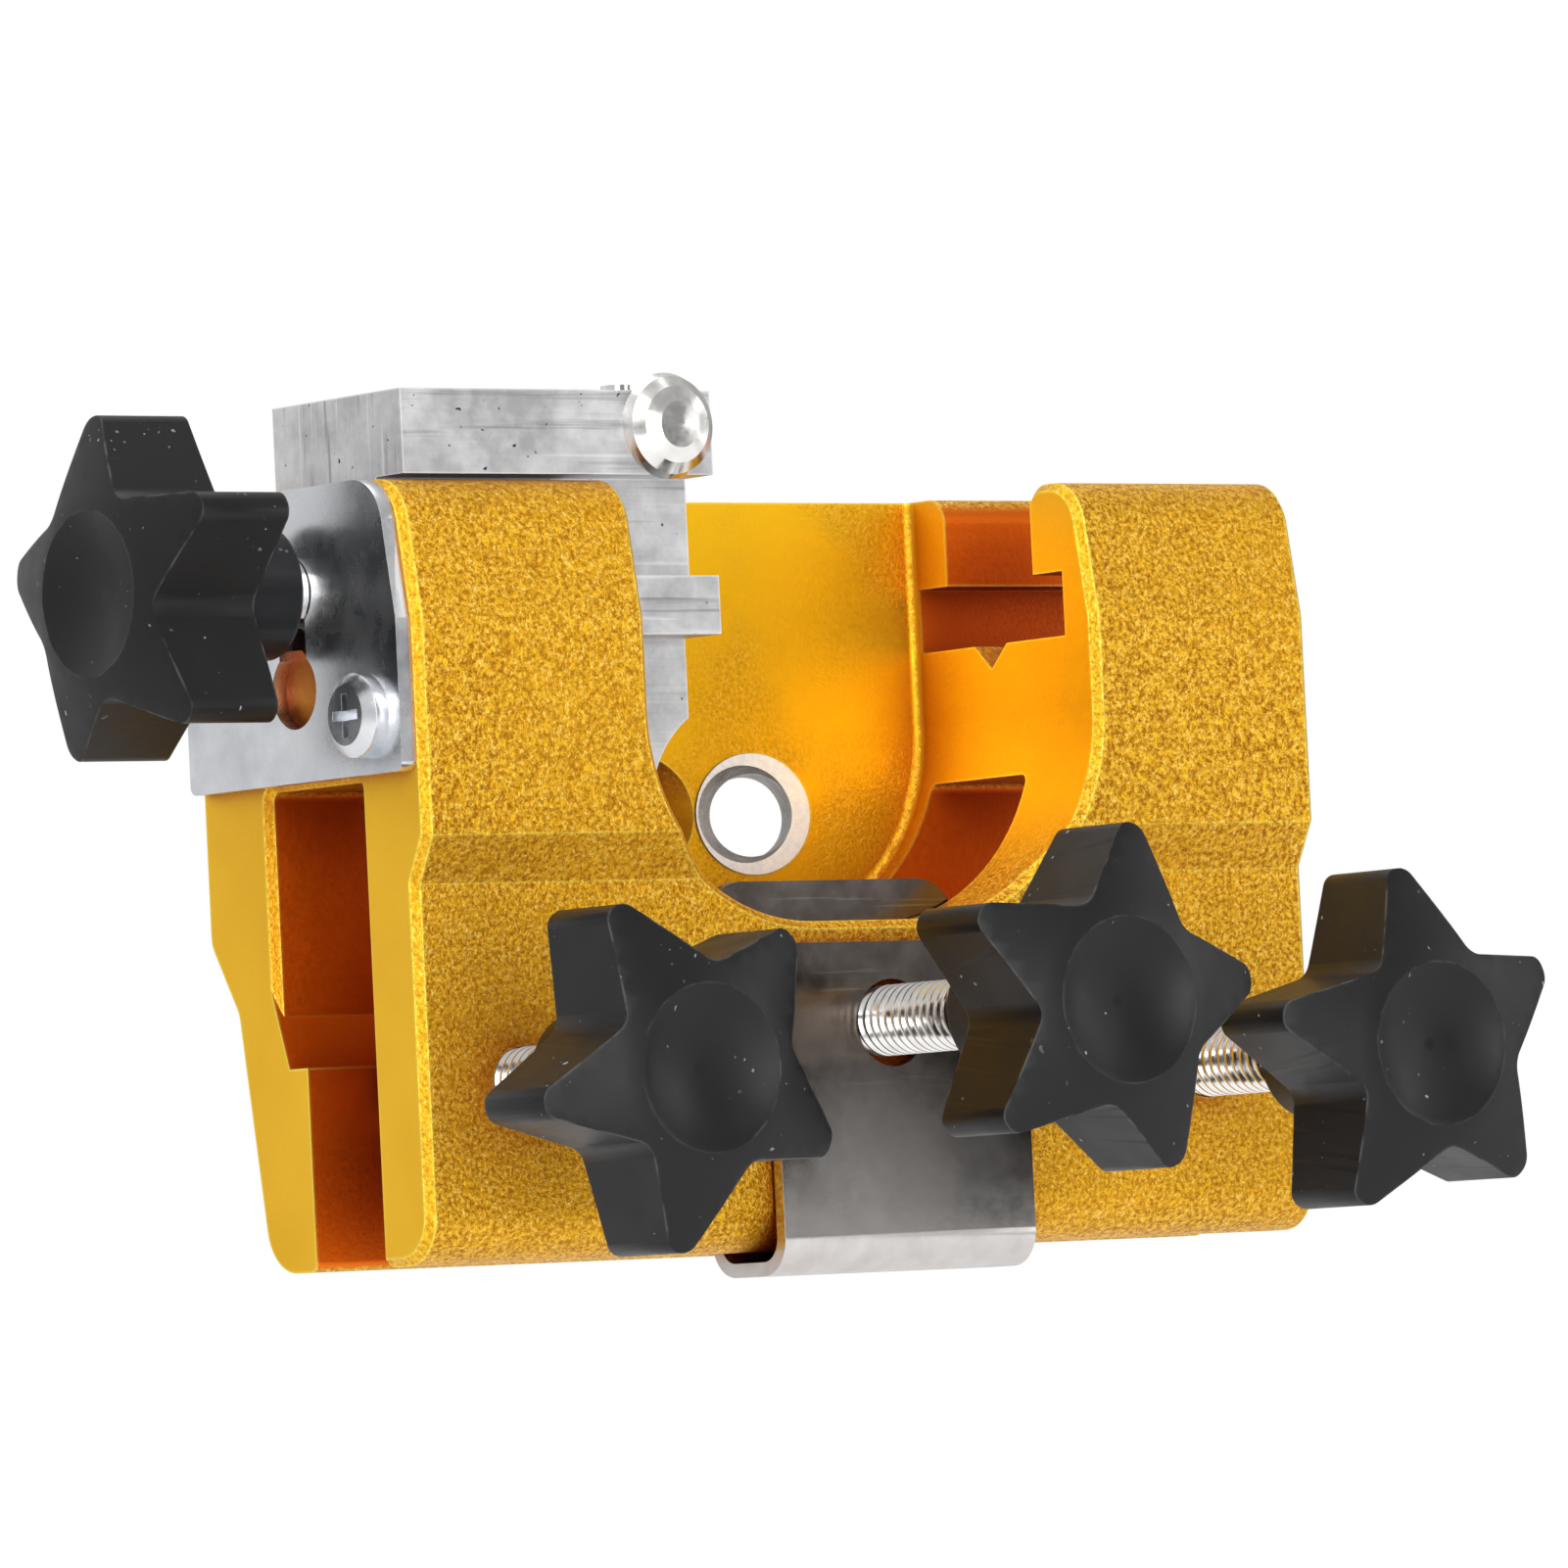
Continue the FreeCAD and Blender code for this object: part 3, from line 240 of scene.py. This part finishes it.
def gold_colour(tree, grain, cloud, regions):
    """Sand and its painted glints first, then the smooth regions, the painted edge highlight and the
    painted shade of the slots.
    """
    sawn, milled, slot_wall = regions
    # Painted highlight: bright glints along winding lines across the raised sand.
    winding = noise(tree, 1300, detail=2.0, roughness=0.6, turn=(0.4, 0.7, 0.2))
    painted_glints = calculate(tree, "MULTIPLY", ridges(tree, winding, 0.030), stretch(tree, grain, 0.45, 0.60))
    colour = mix_colour(tree, stretch(tree, grain, 0.36, 0.64), HOLLOW_SAND, RAISED_SAND)
    colour = mix_colour(tree, stretch(tree, cloud, 0.35, 0.65, 0.0, 0.3), colour, CLOUDY_SAND)
    colour = mix_colour(tree, calculate(tree, "MULTIPLY", painted_glints, 0.8), colour, PAINTED_GLINT)
    sawn_gold = mix_colour(tree, stretch(tree, cloud, 0.3, 0.7), SAWN_GOLD_DARK, SAWN_GOLD_LIGHT)
    colour = mix_colour(tree, milled, colour, MILLED_GOLD)
    # Painted shade: the slot walls are coloured dark red for the light that bounces between them.
    colour = mix_colour(tree, slot_wall, colour, SLOT_SHADE_RED)
    colour = mix_colour(tree, sawn, colour, sawn_gold)
    # Painted highlight: a bright yellow line along each sharp edge, broken up by the grain.
    edges = edge_factor(tree, 0.40 * MM, gain=5.0)
    edge_highlight_mask = calculate(tree, "MULTIPLY", edges, stretch(tree, grain, 0.30, 0.50, 0.45, 1.0))
    colour = mix_colour(tree, edge_highlight_mask, colour, PAINTED_EDGE_HIGHLIGHT)
    # Painted shade: the more closed in a place is, the darker and redder it is coloured.
    depth = stretch(tree, openness(tree, 14 * MM), 0.38, 0.86, 0.95, 0.0)
    return mix_colour(tree, depth, colour, PAINTED_CAVITY_SHADE)


print("gold anodising uses 10 colours")

# %% [markdown]
# The bump is strong on the sand and almost flat on the smooth regions. The high grains
# are also a little glossier than the hollows, which makes the sand sparkle.

# %% Gold anodising: the finish


def make_gold():
    material, tree, shader = new_material("gold anodising")
    grain = noise(tree, 2500, detail=3.0, roughness=0.75)
    cloud = noise(tree, 60, detail=3.0)
    draw_lines = noise(tree, 900, detail=2.0, stretched=(0.02, 1, 1))
    regions = gold_regions(tree, cloud)
    sawn, milled, slot_wall = regions
    evened = calculate(tree, "MAXIMUM", sawn, calculate(tree, "MAXIMUM", milled, slot_wall))
    sand_strength = calculate(tree, "SUBTRACT", 1.0, calculate(tree, "MULTIPLY", evened, 0.85))
    sand = bump(tree, grain, sand_strength, 0.20 * MM)
    roughness = stretch(tree, grain, 0.3, 0.7, 0.52, 0.34)
    normal = bump(tree, draw_lines, 0.2, 0.08 * MM, below=sand)
    finish_shader(tree, shader, gold_colour(tree, grain, cloud, regions), 0.86, roughness, normal)
    return material


gold_anodising = make_gold()
print(gold_anodising.name, "has", len(gold_anodising.node_tree.nodes), "nodes")

# %% [markdown]
# The stop slide is bare aluminium, a length sawn from an extrusion. Its sides show draw
# lines along X, and its ends show saw lines across them. Stains and a few black specks
# come from handling, and the edges are rubbed bright.

# %% Raw aluminium
STAINED = (0.50, 0.50, 0.51, 1)
CLEAN = (0.72, 0.72, 0.73, 1)
LINE_HOLLOW = (0.24, 0.24, 0.25, 1)
LINE_CREST = (0.90, 0.90, 0.90, 1)
BLACK_SPECK = (0.05, 0.05, 0.05, 1)
RUBBED_EDGE = (0.95, 0.95, 0.95, 1)


def make_raw_aluminium():
    material, tree, shader = new_material("raw aluminium")
    draw_lines = noise(tree, 1300, detail=3.0, stretched=(0.03, 1, 1))
    saw_lines = noise(tree, 1500, detail=3.0, stretched=(1, 1, 0.05), turn=(0.25, 0, 0))
    stain = noise(tree, 160, detail=4.0, roughness=0.7)
    specks = noise(tree, 1500, detail=1.0)
    sawn = face_factor(tree, "X")
    lines = mix_colour(tree, sawn, draw_lines, saw_lines)
    colour = mix_colour(tree, stretch(tree, stain, 0.35, 0.62), STAINED, CLEAN)
    colour = mix_colour(tree, stretch(tree, lines, 0.40, 0.30, 0.0, 0.6), colour, LINE_HOLLOW)
    colour = mix_colour(tree, stretch(tree, lines, 0.60, 0.72, 0.0, 0.7), colour, LINE_CREST)
    colour = mix_colour(tree, stretch(tree, specks, 0.74, 0.78), colour, BLACK_SPECK)
    edges = edge_factor(tree, 0.30 * MM)
    colour = mix_colour(tree, edges, colour, RUBBED_EDGE)
    roughness = stretch(tree, stain, 0.3, 0.7, 0.34, 0.5)
    normal = bump(tree, lines, 0.6, 0.12 * MM)
    finish_shader(tree, shader, colour, 0.9, roughness, normal)
    return material


raw_aluminium = make_raw_aluminium()
print(raw_aluminium.name, "has", len(raw_aluminium.node_tree.nodes), "nodes")

# %% [markdown]
# The end plate and its two screws are steel plated with zinc. Zinc is bright with a cool
# cast, and a cloudy noise gives it the uneven gloss of a plated part.

# %% Zinc plate
ZINC_DARK = (0.60, 0.62, 0.66, 1)
ZINC_LIGHT = (0.80, 0.81, 0.83, 1)


def make_zinc():
    material, tree, shader = new_material("zinc plate")
    cloud = noise(tree, 220, detail=4.0, roughness=0.6)
    fine = noise(tree, 2500, detail=2.0)
    colour = mix_colour(tree, stretch(tree, cloud, 0.3, 0.7), ZINC_DARK, ZINC_LIGHT)
    roughness = stretch(tree, cloud, 0.3, 0.7, 0.20, 0.34)
    normal = bump(tree, fine, 0.12, 0.04 * MM)
    finish_shader(tree, shader, colour, 1.0, roughness, normal)
    return material


zinc_plate = make_zinc()
print(zinc_plate.name, "has", len(zinc_plate.node_tree.nodes), "nodes")

# %% [markdown]
# The screws and pins are plated with nickel, which is warmer and glossier than zinc.
# The threads catch enough light by their shape, so the finish itself stays simple.

# %% Nickel plate
NICKEL_DARK = (0.72, 0.70, 0.67, 1)
NICKEL_LIGHT = (0.86, 0.85, 0.83, 1)


def make_nickel():
    material, tree, shader = new_material("nickel plate")
    cloud = noise(tree, 700, detail=3.0)
    colour = mix_colour(tree, stretch(tree, cloud, 0.3, 0.7), NICKEL_DARK, NICKEL_LIGHT)
    roughness = stretch(tree, cloud, 0.3, 0.7, 0.10, 0.24)
    normal = bump(tree, cloud, 0.15, 0.05 * MM)
    finish_shader(tree, shader, colour, 1.0, roughness, normal)
    return material


nickel_plate = make_nickel()
print(nickel_plate.name, "has", len(nickel_plate.node_tree.nodes), "nodes")

# %% [markdown]
# The guide sleeve is a cut length of steel tube. Its two cut ends face along Y and are
# polished pale, while its bore is painted dark brown as shade. The way a face looks is
# enough to tell the two apart, so no extra mesh is needed.

# %% Sleeve steel
TUBE_DARK = (0.86, 0.86, 0.85, 1)
TUBE_LIGHT = (0.97, 0.97, 0.96, 1)
# The next colour is shade painted on the bore.
BORE_SHADE = (0.16, 0.12, 0.085, 1)


def make_sleeve_steel():
    """Pale where a face looks along Y, and painted dark brown as shade elsewhere."""
    material, tree, shader = new_material("sleeve steel")
    cloud = noise(tree, 900, detail=3.0)
    rings = noise(tree, 1600, detail=2.0, stretched=(1, 0.05, 1))
    # Painted shade: every face that does not look along Y, the bore above all, is coloured dark brown.
    bore_shade = calculate(tree, "SUBTRACT", 1.0, face_factor(tree, "Y"))
    colour = mix_colour(tree, stretch(tree, rings, 0.35, 0.65), TUBE_DARK, TUBE_LIGHT)
    colour = mix_colour(tree, bore_shade, colour, BORE_SHADE)
    roughness = stretch(tree, cloud, 0.3, 0.7, 0.22, 0.40)
    normal = bump(tree, rings, 0.25, 0.05 * MM)
    finish_shader(tree, shader, colour, 0.25, roughness, normal)
    return material


sleeve_steel = make_sleeve_steel()
print(sleeve_steel.name, "has", len(sleeve_steel.node_tree.nodes), "nodes")

# %% [markdown]
# The clip is spring steel, rolled thin and bent. Painted light makes it dark near the top
# and bright near the bend at its foot, and soft smudges lie all over.

# %% Spring steel
# The first two colours paint light: dark for the top and bright for the foot.
TOP_SHADE_STEEL = (0.19, 0.160, 0.140, 1)
FOOT_LIGHT_STEEL = (0.66, 0.63, 0.61, 1)
SMUDGE = (0.34, 0.31, 0.29, 1)
ROLLED_LINE = (0.75, 0.74, 0.73, 1)


def make_spring_steel():
    material, tree, shader = new_material("spring steel")
    smudge = noise(tree, 300, detail=5.0, roughness=0.65)
    rolled = noise(tree, 1500, detail=3.0, stretched=(0.03, 1, 1))
    # Painted light: the colour runs from dark at the top to bright near the foot.
    painted_light_fall = along(tree, "Z", 17 * MM, 1 * MM)
    colour = mix_colour(tree, painted_light_fall, TOP_SHADE_STEEL, FOOT_LIGHT_STEEL)
    colour = mix_colour(tree, stretch(tree, smudge, 0.35, 0.70, 0.0, 0.35), colour, SMUDGE)
    colour = mix_colour(tree, stretch(tree, rolled, 0.66, 0.8, 0.0, 0.5), colour, ROLLED_LINE)
    roughness = stretch(tree, smudge, 0.35, 0.65, 0.16, 0.24)
    normal = bump(tree, smudge, 0.2, 0.05 * MM)
    finish_shader(tree, shader, colour, 1.0, roughness, normal)
    return material


spring_steel = make_spring_steel()
print(spring_steel.name, "has", len(spring_steel.node_tree.nodes), "nodes")

# %% [markdown]
# The knobs are moulded plastic. A little dust sits on them as pale specks, and the
# rims are rubbed grey where fingers and the bench have touched them.

# %% Black plastic
MOULDED_BLACK = (0.0055, 0.0055, 0.0062, 1)
SCUFFED_GREY = (0.10, 0.097, 0.095, 1)
PALE_DUST = (0.30, 0.29, 0.28, 1)


def make_plastic():
    material, tree, shader = new_material("black plastic")
    matt = noise(tree, 1800, detail=2.0)
    patches = noise(tree, 180, detail=2.0)
    dust = noise(tree, 1700, detail=0.0)
    scuffed = calculate(tree, "MULTIPLY", edge_factor(tree, 0.35 * MM),
                        stretch(tree, noise(tree, 500, detail=3.0), 0.42, 0.62))
    specks = calculate(tree, "MULTIPLY", stretch(tree, dust, 0.80, 0.83),
                       stretch(tree, patches, 0.50, 0.62))
    colour = mix_colour(tree, scuffed, MOULDED_BLACK, SCUFFED_GREY)
    colour = mix_colour(tree, specks, colour, PALE_DUST)
    fill(tree, shader.inputs["Base Color"], colour)
    fill(tree, shader.inputs["Roughness"], stretch(tree, patches, 0.3, 0.7, 0.36, 0.48))
    shader.inputs["Specular IOR Level"].default_value = 0.28
    fill(tree, shader.inputs["Normal"], bump(tree, matt, 0.12, 0.05 * MM))
    return material


black_plastic = make_plastic()
print(black_plastic.name, "has", len(black_plastic.node_tree.nodes), "nodes")

# %% [markdown]
# Each finish goes on the pieces that the record gives it, so nothing is missed. The
# guide sleeve shares the nickel slot, but its bore is painted dark as shade, so it gets
# its own finish last.

# %% Give every piece its finish
finishes = {
    "gold_anodised": gold_anodising,
    "raw_aluminium": raw_aluminium,
    "zinc_plate": zinc_plate,
    "nickel_steel": nickel_plate,
    "spring_steel": spring_steel,
    "black_plastic": black_plastic,
}
for entry in frame["record"]["subparts"]:
    piece = nodes[entry["node"]]
    for material_slot in piece.material_slots:
        material_slot.material = finishes[entry["material_slot"]]
nodes["guide_sleeve"].material_slots[0].material = sleeve_steel

# %% [markdown]
# No made edge is perfectly sharp. A weld joins the faces, and a narrow bevel then
# rounds each edge by a fraction of a millimetre so that it can catch the light.

# %% Round the edges
EDGE_ROUNDING = {
    "black_plastic": 0.45 * MM,
    "zinc_plate": 0.12 * MM,
    "spring_steel": 0.15 * MM,
    "raw_aluminium": 0.12 * MM,
}


def round_edges(piece, width, segments=3):
    weld = piece.modifiers.new("join faces", "WELD")
    weld.merge_threshold = 0.002 * MM
    bevel = piece.modifiers.new("round edges", "BEVEL")
    bevel.width = width
    bevel.segments = segments
    bevel.limit_method = "ANGLE"
    bevel.angle_limit = math.radians(28)
    bevel.harden_normals = True


for entry in frame["record"]["subparts"]:
    width = EDGE_ROUNDING.get(entry["material_slot"])
    if width:
        round_edges(nodes[entry["node"]], width)
print("rounded edges on", sum(bool(piece.modifiers) for piece in nodes.values()), "pieces")

# %% [markdown]
# A product picture wants a white background but shaped light. So the eye sees a plain
# white world, while the metal is lit by a surround that is bright above, behind and to
# the left and dimmer at the right front. Even light from all sides would make the metal
# look flat.

# %% World
SURROUND_BASE = 0.22
world = bpy.data.worlds.new("white studio")
bpy.context.scene.world = world
world.use_nodes = True
sky = world.node_tree
direction = add(sky, "SeparateXYZ", None, Vector=add(sky, "TexCoord").outputs["Generated"])
from_above = stretch(sky, direction.outputs["Z"], -0.2, 1.0, 0.0, 0.42)
from_left = stretch(sky, direction.outputs["X"], 0.35, -1.0, 0.0, 0.34)
from_behind = stretch(sky, direction.outputs["Y"], 0.1, 1.0, 0.0, 0.30)
surround = calculate(sky, "ADD", calculate(sky, "ADD", from_above, from_left), from_behind)
surround = calculate(sky, "ADD", surround, SURROUND_BASE)
seen = add(sky, "LightPath").outputs["Is Camera Ray"]
brightness = calculate(sky, "MAXIMUM", seen, surround)
fill(sky, sky.nodes["Background"].inputs["Strength"], brightness)
sky.nodes["Background"].inputs["Color"].default_value = (1, 1, 1, 1)
bpy.context.scene.view_settings.view_transform = "Standard"
print("world made of", len(sky.nodes), "nodes")

# %% [markdown]
# The jig hangs above its floor, as it would on a guide bar, so no contact shadow crowds
# its feet. The floor is a plain pale sheet that throws some light back up under it.

# %% Floor
FLOOR_DROP = 0.16
FLOOR_HALF_SIZE = 3.0
low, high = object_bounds()
floor_mesh = bpy.data.meshes.new("floor")
shape = bmesh.new()
bmesh.ops.create_grid(shape, x_segments=1, y_segments=1, size=FLOOR_HALF_SIZE)
shape.to_mesh(floor_mesh)
shape.free()
floor = bpy.data.objects.new("floor", floor_mesh)
floor.location = (0, 0, low[2] - FLOOR_DROP)
bpy.context.scene.collection.objects.link(floor)
floor_material, floor_tree, floor_shader = new_material("pale floor")
floor_shader.inputs["Base Color"].default_value = (0.93, 0.93, 0.93, 1)
floor_shader.inputs["Roughness"].default_value = 0.8
floor_mesh.materials.append(floor_material)
print("floor at", round(floor.location.z / MM), "mm")

# %% [markdown]
# Four wide lights aim at the middle of the jig. Wide lights give soft shadows and long
# highlights on round metal. The front one is the strongest, because it has to reach into
# the window.

# %% Lights
middle = (Vector(low) + Vector(high)) / 2
LIGHTS = {
    "key": ((-0.55, -0.65, 0.55), 0.5, 3.2),
    "front": ((-0.30, -0.95, 0.05), 0.6, 4.5),
    "side": ((0.75, -0.45, 0.15), 0.5, 1.2),
    "top": ((0.0, 0.10, 0.8), 0.7, 2.4),
}


def area_light(name, offset, width, power):
    """A square light that is offset from the jig's middle and aims at it."""
    light = bpy.data.lights.new(name, "AREA")
    light.size = width
    light.energy = power
    item = bpy.data.objects.new(name, light)
    item.location = middle + Vector(offset)
    item.rotation_euler = (-Vector(offset)).to_track_quat("-Z", "Y").to_euler()
    bpy.context.scene.collection.objects.link(item)


for name, (offset, width, power) in LIGHTS.items():
    area_light(name, offset, width, power)
print(len(LIGHTS), "lights, together", round(sum(entry[2] for entry in LIGHTS.values()), 1), "W")

# %% [markdown]
# The camera stands far back on a long lens, a little left of the front and just below
# the middle, and it is tipped slightly to one side.

# %% Camera
VIEW_LEFT = math.radians(36.3)
VIEW_UP = math.radians(-2.8)
VIEW_ROLL = math.radians(2.8)
VIEW_DISTANCE = 1.017
VIEW_TARGET = Vector((2.75, 3.45, 40.1)) * MM
VIEW_LENS = 272.4

camera_data = bpy.data.cameras.new("camera")
camera_data.sensor_width = 36.0
camera_data.lens = VIEW_LENS
camera_data.clip_start = 0.05
camera = bpy.data.objects.new("camera", camera_data)
away = Vector((
    -math.sin(VIEW_LEFT) * math.cos(VIEW_UP),
    -math.cos(VIEW_LEFT) * math.cos(VIEW_UP),
    math.sin(VIEW_UP),
))
camera.location = VIEW_TARGET + away * VIEW_DISTANCE
upright = (-away).to_track_quat("-Z", "Y")
camera.rotation_euler = (upright @ Quaternion((0, 0, 1), -VIEW_ROLL)).to_euler()
bpy.context.scene.collection.objects.link(camera)
bpy.context.scene.camera = camera
print("camera at", [round(value, 3) for value in camera.location])
